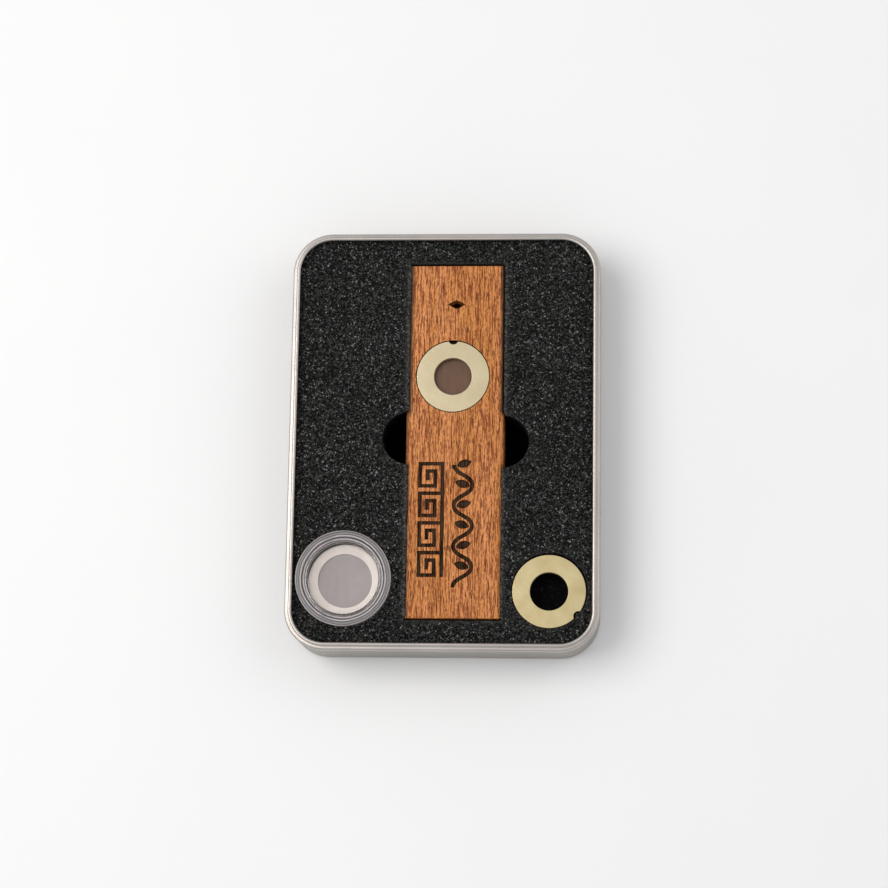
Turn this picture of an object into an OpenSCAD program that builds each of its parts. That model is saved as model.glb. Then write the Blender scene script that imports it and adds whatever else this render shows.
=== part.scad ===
// A flat wooden kazoo in its fitted tin: an open tray with a rolled rim, die-cut foam that
// holds the kazoo, a spare clamp ring, and a clear round capsule of spare membranes.
// Millimetres. The origin is on the ground under the middle of the tray, +Y runs from the
// outlet end to the mouth end of the kazoo, and +Z is up. The tray is as large as what lies
// in it, so its width, length and height follow from the pieces and the gaps round them.

/* [Kazoo body] */
// Length of the body
kazoo_l = 98; // [80:0.5:120]
// Width of the body
kazoo_w = 26.7; // [25:0.1:34]
// Thickness of the body
kazoo_t = 14; // [12:0.25:17]
// Radius of the long edges
long_edge_r = 1.5; // [1:0.1:2]
// Radius of the four upright corner edges
end_edge_r = 0.8; // [0.5:0.1:1.5]
// Width of the wind channel
channel_w = 16; // [14:0.5:18]
// Height of the wind channel
channel_h = 7; // [5.5:0.25:7.5]
// Corner radius of the wind channel
channel_r = 2.5; // [1.5:0.25:2.75]
// Diameter of the outlet bore
outlet_d = 7; // [5:0.5:7.5]
// Length of the outlet bore
outlet_l = 8; // [5:0.5:12]
// Length of the lens-shaped vent near the mouth end
vent_l = 4; // [3.5:0.1:5]
// Width of the vent
vent_w = 2.1; // [1.7:0.1:2.8]
// Distance of the vent from the mouth end
vent_inset = 11; // [9:0.2:14]

/* [Clamp ring] */
// Outside diameter of the clamp ring
ring_d = 19.9; // [17:0.1:21.5]
// Width of the flat of the ring, between its edge and its hole
ring_band = 4.8; // [4:0.1:5.5]
// Thickness of the ring
ring_t = 1.5; // [1.2:0.1:1.8]
// Small rounding on the edges of the ring
ring_edge_r = 0.15; // [0.1:0.05:0.3]
// Diameter of the pry notch in the edge of the ring
notch_d = 2.8; // [2:0.1:3.4]
// Depth of the pry notch
notch_depth = 1; // [0.7:0.1:1.3]
// Gap round the ring in its seat
seat_gap = 0.2; // [0.15:0.05:0.3]
// Width of the ledge that the membrane lies on
seat_ledge = 3.65; // [3:0.05:4.5]
// Distance of the ring's middle from the mouth end of the body
ring_inset = 31.3; // [29:0.1:34]
// Distance of the ring's middle from the middle line of the body, to the left
ring_off = 0.75; // [0:0.05:1.5]

/* [Membrane] */
// Distance of the paper rim's edge from the ring's edge
membrane_inset = 0.3; // [0.2:0.05:0.5]
// Width of the paper rim
paper_w = 2.25; // [1.75:0.05:2.5]
// Thickness of the paper rim
paper_t = 0.4; // [0.3:0.05:0.5]
// Thickness of the film
film_t = 0.05; // [0.04:0.01:0.08]

/* [Capsule] */
// Height of the closed capsule
capsule_h = 9; // [8.6:0.1:10]
// Gap from the spare membranes to the wall of the cup
stack_gap = 0.75; // [0.5:0.05:1]
// Wall thickness of the cup
cup_wall = 1.2; // [1:0.1:1.4]
// Thickness of the cup's floor
cup_floor_t = 1.2; // [0.9:0.1:1.5]
// Depth of the hollow inside the foot of the cup
foot_hollow = 0.3; // [0.2:0.05:0.5]
// Gap between the lid and the cup, round the wall
lid_fit = 0.1; // [0.05:0.05:0.2]
// Wall thickness of the lid's skirt
skirt_wall = 1.3; // [1:0.1:1.6]
// Length of the lid's skirt
skirt_l = 1.15; // [1:0.05:1.4]
// Thickness of the lid's top
lid_top_t = 1; // [0.8:0.1:1.2]
// Rounding of the lid's outer edge
lid_edge_r = 0.5; // [0.3:0.1:0.7]
// Gap between the lid's skirt and the foam under it
lid_float = 0.25; // [0.2:0.05:0.4]
// Wall thickness of the plug inside the lid
plug_wall = 0.8; // [0.6:0.1:1]
// Length of the plug below the lid's top
plug_l = 2; // [1.5:0.1:2.5]

/* [Foam] */
// Height by which the kazoo stands above the foam face
kazoo_proud = 0.5; // [0.4:0.1:1.2]
// Thickness of the plain pad under everything
foam_pad_t = 2.2; // [1.5:0.1:3]
// Thickness of the face sheet, which is also the depth of the spare ring's pocket
foam_face_t = 2; // [1.75:0.25:3]
// Gap from the foam to the walls of the tray
foam_fit = 0.15; // [0.1:0.05:0.4]
// Gap from the foam to each thing that lies in it
pocket_gap = 0.3; // [0.2:0.05:0.4]
// Gap from the foam to the mouth end of the kazoo
mouth_gap = 1.3; // [0.3:0.1:2]
// Reach of the finger slot beyond each side of the kazoo
finger_reach = 6.8; // [5:0.2:8]
// Width of the finger slot
finger_w = 14; // [12:0.2:18]
// Turn of the finger slot, in degrees
finger_turn = -2; // [-3:0.5:3]
// Width of the ledge that the spare ring lies on
ring_ledge = 3.45; // [3:0.05:4]

/* [Layout] */
// Foam left of the capsule's lid, to the tray wall
capsule_side_gap = 2.85; // [2.75:0.05:5]
// Foam between the capsule's lid and the kazoo
capsule_kazoo_gap = 3.2; // [2:0.1:5]
// Foam between the kazoo and the spare ring
ring_kazoo_gap = 2.65; // [1.5:0.05:4]
// Foam right of the spare ring, to the tray wall
ring_side_gap = 3.7; // [3:0.1:5]
// Foam beyond the outlet end of the kazoo, to the near wall
outlet_end_gap = 8.85; // [6:0.05:15]
// Foam beyond the mouth end of the kazoo, to the far wall
mouth_end_gap = 9.15; // [6:0.05:15]
// Foam below the capsule's lid, to the near wall
capsule_end_gap = 6.4; // [4:0.1:12]
// Foam below the spare ring, to the near wall
ring_end_gap = 6.5; // [4:0.1:12]
// Direction of the spare ring's notch, in degrees
spare_turn = -40; // [-180:5:180]

/* [Tin tray] */
// Thickness of the tin plate
sheet_t = 0.3; // [0.2:0.05:0.4]
// Height of the tray's rim above the foam face
rim_above_foam = 2; // [1.75:0.05:3]
// Outer radius of the upright corners
corner_r = 11; // [8:0.5:13]
// Outer radius of the bend from the floor into the walls
base_bend_r = 1.5; // [1:0.25:2]
// Outer radius of the bend from the walls into the shoulder
shoulder_bend_r = 0.6; // [0.5:0.05:0.8]
// Height of the rolled rim above the shoulder
rim_rise = 0.8; // [0.7:0.1:1.2]
// Diameter of the rolled rim
bead_d = 1.1; // [0.9:0.1:1.2]
// Distance from the outer wall to the inner edge of the rolled rim
rim_w = 2.1; // [2:0.1:2.6]

/* [Hidden] */
$fn = 96;
// Overrun that lets every cut pass its faces
over = 1;

// Rings, membranes and capsule, each sized from the one before
ring_hole_d = ring_d - 2 * ring_band;
seat_d = ring_d + 2 * seat_gap;
chimney_d = seat_d - 2 * seat_ledge;
membrane_d = ring_d - 2 * membrane_inset;
window_d = membrane_d - 2 * paper_w;
cup_inner_d = membrane_d + 2 * stack_gap;
cup_d = cup_inner_d + 2 * cup_wall;
lid_d = cup_d + 2 * (lid_fit + skirt_wall);

// Tray, as large as what lies in it
tin_w = capsule_side_gap + lid_d + capsule_kazoo_gap + kazoo_w + ring_kazoo_gap + ring_d + ring_side_gap;
tin_l = outlet_end_gap + kazoo_l + mouth_end_gap;

// Heights
pad_z = sheet_t;
lower_z = pad_z + foam_pad_t;
kazoo_mid_z = lower_z + kazoo_t / 2;
kazoo_top_z = lower_z + kazoo_t;
foam_top = kazoo_top_z - kazoo_proud;
face_z = foam_top - foam_face_t;
capsule_top_z = foam_top + lid_float + skirt_l + lid_top_t;
capsule_z = capsule_top_z - capsule_h;
tin_h = foam_top + rim_above_foam;

// Rim of the tray, in distances from the middle of a corner and from the ground
shoulder_z = tin_h - rim_rise;
bead_u = corner_r - rim_w + bead_d / 2;
bead_z = tin_h - bead_d / 2;
neck_u = bead_u - sheet_t / 2;

// Outline of the foam, and the whole length of the finger slot
foam_w = tin_w - 2 * (sheet_t + foam_fit);
foam_l = tin_l - 2 * (sheet_t + foam_fit);
foam_r = corner_r - sheet_t - foam_fit;
finger_l = kazoo_w + 2 * finger_reach;
well_d = ring_d - 2 * ring_ledge;

// Places in the tray, from its left and near walls
capsule_x = capsule_side_gap + lid_d / 2 - tin_w / 2;
capsule_y = capsule_end_gap + lid_d / 2 - tin_l / 2;
kazoo_x = capsule_side_gap + lid_d + capsule_kazoo_gap + kazoo_w / 2 - tin_w / 2;
kazoo_y = outlet_end_gap + kazoo_l / 2 - tin_l / 2;
mouth_y = kazoo_y + kazoo_l / 2;
spare_x = tin_w / 2 - ring_side_gap - ring_d / 2;
spare_y = ring_end_gap + ring_d / 2 - tin_l / 2;
ring_x = kazoo_x - ring_off;
ring_y = mouth_y - ring_inset;

// Seat of the membrane and its ring in the kazoo
seat_depth = ring_t + paper_t + film_t;
film_z = kazoo_top_z - seat_depth;

// Stack of spare membranes, each a little off the middle of the cup
stack_z = capsule_z + cup_floor_t;
stack_shares = [[0.5, -0.3], [-0.4, 0.4], [0.3, 0.5], [-0.5, -0.4], [0.1, -0.1]];

// Flat shapes

module rounded_rect(w, l, r) {
    square([w - 2 * r, l], center = true);
    square([w, l - 2 * r], center = true);
    for (x = [-1, 1])
        for (y = [-1, 1])
            translate([x * (w / 2 - r), y * (l / 2 - r)])
                circle(r);
}

// A quarter of a ring, turned about its middle
module bend(r, t, turn) {
    rotate(turn)
        intersection() {
            difference() {
                circle(r);
                circle(r - t);
            }
            square(r);
        }
}

module stadium(l, w) {
    square([l - w, w], center = true);
    for (x = [-1, 1])
        translate([x * (l - w) / 2, 0])
            circle(d = w);
}

// Two arcs that meet in points, for the vent
module lens(l, w) {
    arc_r = (l * l + w * w) / (4 * w);
    intersection_for(y = [-1, 1])
        translate([0, y * (arc_r - w / 2)])
            circle(arc_r);
}

// Tin tray

// Section through the wall of the tray, measured out from the middle of a corner
module tray_section() {
    translate([corner_r - base_bend_r, base_bend_r])
        bend(base_bend_r, sheet_t, -90);
    translate([corner_r - sheet_t, base_bend_r])
        square([sheet_t, shoulder_z - shoulder_bend_r - base_bend_r]);
    translate([corner_r - shoulder_bend_r, shoulder_z - shoulder_bend_r])
        bend(shoulder_bend_r, sheet_t, 0);
    translate([neck_u, shoulder_z - sheet_t])
        square([corner_r - shoulder_bend_r - neck_u, sheet_t]);
    translate([neck_u, shoulder_z - sheet_t])
        square([sheet_t, bead_z - shoulder_z + sheet_t]);
    translate([bead_u, bead_z])
        circle(d = bead_d);
}

// One straight wall, and the corner at its end, about the middle of a corner
module tray_side(l) {
    rotate([90, 0, 0])
        linear_extrude(l)
            tray_section();
    rotate_extrude(angle = 90)
        tray_section();
}

module tin_tray() {
    corner_x = tin_w / 2 - corner_r;
    corner_y = tin_l / 2 - corner_r;
    color("silver") {
        linear_extrude(sheet_t)
            rounded_rect(tin_w - 2 * base_bend_r, tin_l - 2 * base_bend_r, corner_r - base_bend_r);
        for (turn = [0, 180])
            rotate(turn) {
                translate([corner_x, corner_y])
                    tray_side(2 * corner_y);
                translate([-corner_x, corner_y])
                    rotate(90)
                        tray_side(2 * corner_x);
            }
    }
}

// Foam

module foam_sheet(z, t, inset = 0) {
    translate([0, 0, z])
        linear_extrude(t)
            rounded_rect(foam_w - 2 * inset, foam_l - 2 * inset, foam_r - inset);
}

// Slot for the kazoo, and the finger slot that crosses it at the middle of the tray
module kazoo_slot(z, t) {
    translate([kazoo_x - kazoo_w / 2 - pocket_gap, kazoo_y - kazoo_l / 2 - pocket_gap, z - over])
        cube([kazoo_w + 2 * pocket_gap, pocket_gap + kazoo_l + mouth_gap, t + 2 * over]);
    translate([kazoo_x, 0, z - over])
        linear_extrude(t + 2 * over)
            rotate(finger_turn)
                stadium(finger_l, finger_w);
}

module round_pocket(x, y, z, t, d) {
    translate([x, y, z - over])
        cylinder(h = t + 2 * over, d = d);
}

module foam_pad() {
    color("dimgray")
        foam_sheet(pad_z, foam_pad_t, base_bend_r);
}

module foam_lower() {
    t = capsule_z - lower_z;
    color("dimgray")
        difference() {
            foam_sheet(lower_z, t);
            kazoo_slot(lower_z, t);
        }
}

module foam_middle() {
    t = face_z - capsule_z;
    color("dimgray")
        difference() {
            foam_sheet(capsule_z, t);
            kazoo_slot(capsule_z, t);
            round_pocket(capsule_x, capsule_y, capsule_z, t, cup_d + 2 * pocket_gap);
            round_pocket(spare_x, spare_y, capsule_z, t, well_d);
        }
}

module foam_face() {
    color("darkslategray")
        difference() {
            foam_sheet(face_z, foam_face_t);
            kazoo_slot(face_z, foam_face_t);
            round_pocket(capsule_x, capsule_y, face_z, foam_face_t, cup_d + 2 * pocket_gap);
            round_pocket(spare_x, spare_y, face_z, foam_face_t, ring_d + 2 * pocket_gap);
        }
}

// Kazoo body

// The whole block, with its long edges and its upright corners rounded
module kazoo_block() {
    translate([kazoo_x, kazoo_y, kazoo_mid_z])
        intersection() {
            rotate([90, 0, 0])
                linear_extrude(kazoo_l, center = true)
                    rounded_rect(kazoo_w, kazoo_t, long_edge_r);
            linear_extrude(kazoo_t, center = true)
                rounded_rect(kazoo_w, kazoo_l, end_edge_r);
        }
}

// The wind channel, open at the mouth end, and the outlet bore that leaves it
module wind_way() {
    translate([kazoo_x, mouth_y + over, kazoo_mid_z])
        rotate([90, 0, 0])
            linear_extrude(kazoo_l - outlet_l + over)
                rounded_rect(channel_w, channel_h, channel_r);
    translate([kazoo_x, kazoo_y, kazoo_mid_z])
        rotate([90, 0, 0])
            cylinder(h = kazoo_l / 2 + over, d = outlet_d);
}

module kazoo_lower_half() {
    color("peru")
        difference() {
            kazoo_block();
            wind_way();
            translate([kazoo_x - kazoo_w, -kazoo_l, kazoo_mid_z])
                cube([2 * kazoo_w, 2 * kazoo_l, kazoo_t]);
        }
}

module kazoo_upper_half() {
    color("chocolate")
        difference() {
            kazoo_block();
            wind_way();
            translate([kazoo_x - kazoo_w, -kazoo_l, kazoo_mid_z - kazoo_t])
                cube([2 * kazoo_w, 2 * kazoo_l, kazoo_t]);
            translate([ring_x, ring_y, kazoo_mid_z])
                cylinder(h = kazoo_t, d = chimney_d);
            translate([ring_x, ring_y, film_z])
                cylinder(h = seat_depth + over, d = seat_d);
            translate([kazoo_x, mouth_y - vent_inset, kazoo_mid_z])
                linear_extrude(kazoo_t)
                    lens(vent_l, vent_w);
        }
}

// Membrane, with its film under its paper rim

module paper_rim(x, y, z) {
    color("antiquewhite")
        translate([x, y, z])
            difference() {
                cylinder(h = paper_t, d = membrane_d);
                translate([0, 0, -over])
                    cylinder(h = paper_t + 2 * over, d = window_d);
            }
}

module film(x, y, z) {
    color("darkgray")
        translate([x, y, z])
            cylinder(h = film_t, d = membrane_d);
}

module membrane_rim() {
    paper_rim(ring_x, ring_y, film_z + film_t);
}

module membrane_film() {
    film(ring_x, ring_y, film_z);
}

// Height of a spare membrane in the stack, and its place beside the middle of the cup
function spare_z(i) = stack_z + (i - 1) * (paper_t + film_t);
function spare_at(i) = [capsule_x, capsule_y] + stack_gap * stack_shares[i - 1];

module spare_rim(i) {
    at = spare_at(i);
    paper_rim(at[0], at[1], spare_z(i) + film_t);
}

module spare_film(i) {
    at = spare_at(i);
    film(at[0], at[1], spare_z(i));
}

// Clamp rings

// A flat ring with soft edges and a pry notch on its +X side
module notched_ring() {
    mid_r = (ring_d + ring_hole_d) / 4;
    difference() {
        rotate_extrude()
            translate([mid_r, ring_t / 2])
                rounded_rect((ring_d - ring_hole_d) / 2, ring_t, ring_edge_r);
        translate([ring_d / 2 - notch_depth + notch_d / 2, 0, -over])
            cylinder(h = ring_t + 2 * over, d = notch_d);
    }
}

module clamp_ring() {
    color("palegoldenrod")
        translate([ring_x, ring_y, kazoo_top_z - ring_t])
            rotate(90)
                notched_ring();
}

module spare_ring() {
    color("khaki")
        translate([spare_x, spare_y, face_z])
            rotate(spare_turn)
                notched_ring();
}

// Capsule

module capsule_cup() {
    cup_h = capsule_h - lid_top_t;
    color("gainsboro")
        translate([capsule_x, capsule_y, capsule_z])
            difference() {
                cylinder(h = cup_h, d = cup_d);
                translate([0, 0, cup_floor_t])
                    cylinder(h = cup_h, d = cup_inner_d);
                translate([0, 0, -over])
                    cylinder(h = foot_hollow + over, d = cup_inner_d - 2 * cup_wall);
            }
}

// Section through the lid, from its middle outwards and from the underside of its top upwards
module lid_section() {
    lid_r = lid_d / 2;
    skirt_r = cup_d / 2 + lid_fit;
    plug_r = cup_inner_d / 2 - lid_fit;
    square([lid_r - lid_edge_r, lid_top_t]);
    square([lid_r, lid_top_t - lid_edge_r]);
    translate([lid_r - lid_edge_r, lid_top_t - lid_edge_r])
        circle(lid_edge_r);
    translate([skirt_r, -skirt_l])
        square([lid_r - skirt_r, skirt_l]);
    translate([plug_r - plug_wall, -plug_l])
        square([plug_wall, plug_l]);
}

module capsule_lid() {
    color("whitesmoke")
        translate([capsule_x, capsule_y, capsule_top_z - lid_top_t])
            rotate_extrude()
                lid_section();
}

tin_tray();
foam_pad();
foam_lower();
foam_middle();
foam_face();
kazoo_lower_half();
kazoo_upper_half();
membrane_rim();
membrane_film();
clamp_ring();
spare_ring();
capsule_cup();
capsule_lid();
spare_rim(1);  // spare_rim_1
spare_rim(2);  // spare_rim_2
spare_rim(3);  // spare_rim_3
spare_rim(4);  // spare_rim_4
spare_rim(5);  // spare_rim_5
spare_film(1);  // spare_film_1
spare_film(2);  // spare_film_2
spare_film(3);  // spare_film_3
spare_film(4);  // spare_film_4
spare_film(5);  // spare_film_5
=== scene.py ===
import math

import bpy
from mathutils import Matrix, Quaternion, Vector


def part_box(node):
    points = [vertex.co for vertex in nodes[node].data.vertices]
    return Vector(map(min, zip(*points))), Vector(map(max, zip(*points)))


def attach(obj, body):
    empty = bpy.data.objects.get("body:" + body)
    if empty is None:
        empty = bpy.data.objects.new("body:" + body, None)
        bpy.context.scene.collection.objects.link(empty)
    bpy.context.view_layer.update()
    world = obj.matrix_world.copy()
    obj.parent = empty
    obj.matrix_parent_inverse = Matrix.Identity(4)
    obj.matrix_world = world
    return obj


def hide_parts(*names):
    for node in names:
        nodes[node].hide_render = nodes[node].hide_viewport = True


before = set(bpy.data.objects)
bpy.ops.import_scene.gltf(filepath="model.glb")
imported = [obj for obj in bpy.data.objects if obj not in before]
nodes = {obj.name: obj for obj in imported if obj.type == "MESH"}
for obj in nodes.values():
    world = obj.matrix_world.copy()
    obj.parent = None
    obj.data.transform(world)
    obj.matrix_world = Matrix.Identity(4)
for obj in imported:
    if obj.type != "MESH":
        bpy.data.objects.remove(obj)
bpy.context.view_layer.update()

mm = 0.001


# Small helpers for working as by hand

def deselectAll():
    bpy.ops.object.select_all(action="DESELECT")


def pickOnly(piece):
    deselectAll()
    piece.select_set(True)
    bpy.context.view_layer.objects.active = piece


def editOnly(piece, kind="VERT", action="SELECT"):
    pickOnly(piece)
    bpy.ops.object.mode_set(mode="EDIT")
    bpy.ops.mesh.select_mode(type=kind)
    bpy.ops.mesh.select_all(action=action)


def leaveEdit():
    bpy.ops.object.mode_set(mode="OBJECT")


def weld(distance):
    bpy.ops.mesh.select_all(action="SELECT")
    bpy.ops.mesh.remove_doubles(threshold=distance)


def extrudeBy(step):
    bpy.ops.mesh.extrude_region_move(TRANSFORM_OT_translate={"value": step})


def leaveFacingOut():
    bpy.ops.mesh.select_all(action="SELECT")
    bpy.ops.mesh.normals_make_consistent(inside=False)
    leaveEdit()


def settle(piece, name):
    pickOnly(piece)
    bpy.ops.object.transform_apply(location=True, rotation=True, scale=True)
    piece.name = piece.data.name = name
    return piece


def copyPiece(piece, name):
    pickOnly(piece)
    bpy.ops.object.duplicate()
    twin = bpy.context.object
    twin.name = twin.data.name = name
    return twin


def applyModifier(piece, kind, **settings):
    pickOnly(piece)
    modifier = piece.modifiers.new(kind.title(), kind)
    for key, value in settings.items():
        setattr(modifier, key, value)
    bpy.ops.object.modifier_apply(modifier=modifier.name)


def carve(piece, *tools, operation="DIFFERENCE", **more):
    for tool in tools:
        applyModifier(piece, "BOOLEAN", operation=operation, solver="EXACT", object=tool,
                      material_mode="TRANSFER", **more)
        bpy.data.objects.remove(tool)
    return piece


def joinPieces(pieces, name):
    pickOnly(pieces[0])
    for piece in pieces[1:]:
        piece.select_set(True)
    bpy.ops.object.join()
    return settle(pieces[0], name)


def addBlock(name, low, high):
    deselectAll()
    low, high = Vector(low), Vector(high)
    bpy.ops.mesh.primitive_cube_add(size=1, location=(low + high) / 2, scale=high - low)
    return settle(bpy.context.object, name)


def addDrum(name, centre, lowZ, highZ, radius, sides=128):
    deselectAll()
    bpy.ops.mesh.primitive_cylinder_add(vertices=sides, radius=radius, depth=highZ - lowZ,
                                        location=(*centre, (lowZ + highZ) / 2))
    return settle(bpy.context.object, name)


def bevelWhere(piece, test, width, segments):
    editOnly(piece, "EDGE", "DESELECT")
    leaveEdit()
    spots = piece.data.vertices
    for edge in piece.data.edges:
        edge.select = test(*(spots[i].co for i in edge.vertices))
    bpy.ops.object.mode_set(mode="EDIT")
    bpy.ops.mesh.bevel(offset=width, segments=segments, affect="EDGES", profile=0.5)
    leaveEdit()


def isUpright(a, b):
    return abs(a.z - b.z) > mm


# A section is drawn point by point, each one extruded from the last
def drawSection(name, points):
    deselectAll()
    bpy.ops.mesh.primitive_plane_add(size=mm, location=points[0])
    piece = settle(bpy.context.object, name)
    editOnly(piece)
    bpy.ops.mesh.merge(type="CENTER")
    for last, point in zip(points, points[1:]):
        step = Vector(point) - Vector(last)
        bpy.ops.mesh.extrude_vertices_move(TRANSFORM_OT_translate={"value": step})
    leaveEdit()
    return piece


# A section that ends where it starts, left in edit mode and selected all over
def drawLoop(name, points):
    piece = drawSection(name, points + points[:1])
    editOnly(piece)
    weld(0.001 * mm)
    return piece


def arc(middle, radius, first, last, steps):
    turns = [math.radians(first + (last - first) * i / steps) for i in range(steps + 1)]
    return [(middle[0] + radius * math.cos(t), middle[1] + radius * math.sin(t)) for t in turns]


# A closed section in millimetres, spun round the line through its middle
def turnPiece(name, outline, centre, steps=128):
    piece = drawLoop(name, [(centre[0] + r * mm, centre[1], z * mm) for r, z in outline])
    bpy.ops.mesh.spin(steps=steps, angle=2 * math.pi, center=(*centre, 0), axis=(0, 0, 1))
    weld(0.001 * mm)
    leaveFacingOut()
    return piece


def smoothPiece(piece, degrees=32):
    pickOnly(piece)
    bpy.ops.object.shade_smooth_by_angle(angle=math.radians(degrees))
    applyModifier(piece, "WEIGHTED_NORMAL", keep_sharp=True, weight=90)


def finishPiece(piece, body, slot, *replaced):
    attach(piece, body)
    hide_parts(*replaced)
    print("made", piece.name, len(piece.data.polygons), "faces")


def middleOf(name):
    low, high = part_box(name)
    return (Vector(low) + Vector(high)) / 2


# Materials are read in Object coordinates, whose unit is a metre

def tone(red, green, blue):
    parts = [c / 255 for c in (red, green, blue)]
    return tuple(c / 12.92 if c < 0.04045 else ((c + 0.055) / 1.055) ** 2.4 for c in parts) + (1,)


def setInput(tree, node, key, value):
    if isinstance(value, bpy.types.NodeSocket):
        tree.links.new(value, node.inputs[key])
    else:
        node.inputs[key].default_value = value


def addNode(tree, kind, inputs, **options):
    node = tree.nodes.new(kind)
    for key, value in options.items():
        setattr(node, key, value)
    for key, value in inputs.items():
        setInput(tree, node, key, value)
    return node


def addMath(tree, operation, first, second=0.0):
    return addNode(tree, "ShaderNodeMath", {0: first, 1: second}, operation=operation).outputs[0]


def addProduct(tree, first, second):
    return addMath(tree, "MULTIPLY", first, second)


def addVectorMath(tree, operation, first, second):
    return addNode(tree, "ShaderNodeVectorMath", {0: first, 1: second}, operation=operation).outputs


def addBlend(tree, share, first, second):
    return addNode(tree, "ShaderNodeMix", {0: share, 6: first, 7: second}, data_type="RGBA").outputs[2]


def addRange(tree, value, low, high, toLow=0.0, toHigh=1.0):
    inputs = {"Value": value, "From Min": low, "From Max": high, "To Min": toLow, "To Max": toHigh}
    return addNode(tree, "ShaderNodeMapRange", inputs).outputs["Result"]


def addNoise(tree, place, scale, detail, rough=0.5):
    inputs = {"Vector": place, "Scale": scale, "Detail": detail, "Roughness": rough}
    return addNode(tree, "ShaderNodeTexNoise", inputs).outputs


def objectPlace(tree, scale=(1, 1, 1)):
    place = addNode(tree, "ShaderNodeTexCoord", {}).outputs["Object"]
    return addNode(tree, "ShaderNodeMapping", {"Vector": place, "Scale": scale}).outputs["Vector"]


def partOf(tree, vector, axis):
    return addNode(tree, "ShaderNodeSeparateXYZ", {0: vector}).outputs[axis]


def facing(tree, axis):
    return partOf(tree, addNode(tree, "ShaderNodeNewGeometry", {}).outputs["Normal"], axis)


def fromMesh(tree, name):
    return addNode(tree, "ShaderNodeAttribute", {}, attribute_name=name).outputs["Fac"]


def newMaterial(name, roughness, **plain):
    material = bpy.data.materials.new(name)
    material.use_nodes = True
    tree = material.node_tree
    surface = tree.nodes["Principled BSDF"]
    surface.inputs["Roughness"].default_value = roughness
    for key, value in plain.items():
        surface.inputs[key.replace("_", " ")].default_value = value
    return material, tree, surface


def addBump(tree, surface, height, strength, distance):
    inputs = {"Height": height, "Strength": strength, "Distance": distance}
    setInput(tree, surface, "Normal", addNode(tree, "ShaderNodeBump", inputs).outputs["Normal"])


def newGroup(name, inputs, outputs):
    group = bpy.data.node_groups.new(name, "ShaderNodeTree")
    for labels, way in ((inputs, "INPUT"), (outputs, "OUTPUT")):
        for label in labels:
            group.interface.new_socket(name=label, in_out=way, socket_type="NodeSocketFloat")
    return group, group.nodes.new("NodeGroupInput"), group.nodes.new("NodeGroupOutput")


def useGroup(tree, group, inputs):
    return addNode(tree, "ShaderNodeGroup", inputs, node_tree=group).outputs


# Width and length of each kind of streak in millimetres, then its detail, roughness and wobble
grainLook = {
    "pores": (0.36, 3.2, 1.0, 0.5, 0.9),
    "fibre": (0.35, 7.5, 2.0, 0.6, 0.9),
    "flecks": (0.24, 0.9, 1.0, 0.5, 0.9),
    "bands": (3.2, 60, 1.0, 0.5, 2.0),
    "driftScale": 90.0,
    "poreEdge": 0.09,
    "fleckPull": 0.07,
}


# Streaks along Y: pores, fibres and slow bands, for the wood and for what is burnt into it
def makeGrainGroup():
    group, given, out = newGroup("grainAlongY", ["Pores"], ["Pores", "Fibre", "Flecks", "Bands"])
    place = objectPlace(group)

    def streaks(kind):
        width, length, detail, rough, wobble = grainLook[kind]
        drift = addNoise(group, place, grainLook["driftScale"], 1.0)["Color"]
        push = addVectorMath(group, "MULTIPLY", drift, (wobble * mm, 0, 0))[0]
        moved = addVectorMath(group, "ADD", place, push)[0]
        scale = (1 / (width * mm), 1 / (length * mm), 1 / (width * mm))
        vector = addNode(group, "ShaderNodeMapping", {"Vector": moved, "Scale": scale}).outputs["Vector"]
        return addNoise(group, vector, 1.0, detail, rough)["Fac"]

    limit = given.outputs["Pores"]
    poreEnd = addMath(group, "ADD", limit, grainLook["poreEdge"])
    setInput(group, out, "Pores", addRange(group, streaks("pores"), limit, poreEnd))
    flecks = addRange(group, streaks("flecks"), 0.4, 0.6)
    setInput(group, out, "Flecks", flecks)
    broken = addMath(group, "ADD", streaks("fibre"), addProduct(group, flecks, grainLook["fleckPull"]))
    setInput(group, out, "Fibre", addRange(group, broken, 0.5, 0.62))
    setInput(group, out, "Bands", addRange(group, streaks("bands"), 0.32, 0.68))
    return group


# Slow patches and fine specks: the handling marks and dust of all but the foam and the burnt wood; on
# the capsule walls the patches also vary the painted rings of light
def makeMarksGroup():
    group, given, out = newGroup("handlingMarks", ["Patch size", "Speck size"], ["Patches", "Specks"])
    place = objectPlace(group)
    for size, detail, rough, label, low in (("Patch size", 3.0, 0.55, "Patches", 0.3),
                                            ("Speck size", 2.0, 0.6, "Specks", 0.35)):
        scale = addMath(group, "DIVIDE", 1.0, given.outputs[size])
        noise = addNoise(group, place, scale, detail, rough)["Fac"]
        setInput(group, out, label, addRange(group, noise, low, 1 - low))
    return group


grainGroup = makeGrainGroup()
marksGroup = makeMarksGroup()


def addMarks(tree, patch, speck=0.5):
    return useGroup(tree, marksGroup, {"Patch size": patch * mm, "Speck size": speck * mm})


# Two near tones in patches, with specks of a third
def addWear(tree, marks, light, dark, share, stain):
    colour = addBlend(tree, marks["Patches"], light, dark)
    return addBlend(tree, addProduct(tree, marks["Specks"], share), colour, stain)


# Wood of the kazoo

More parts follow.
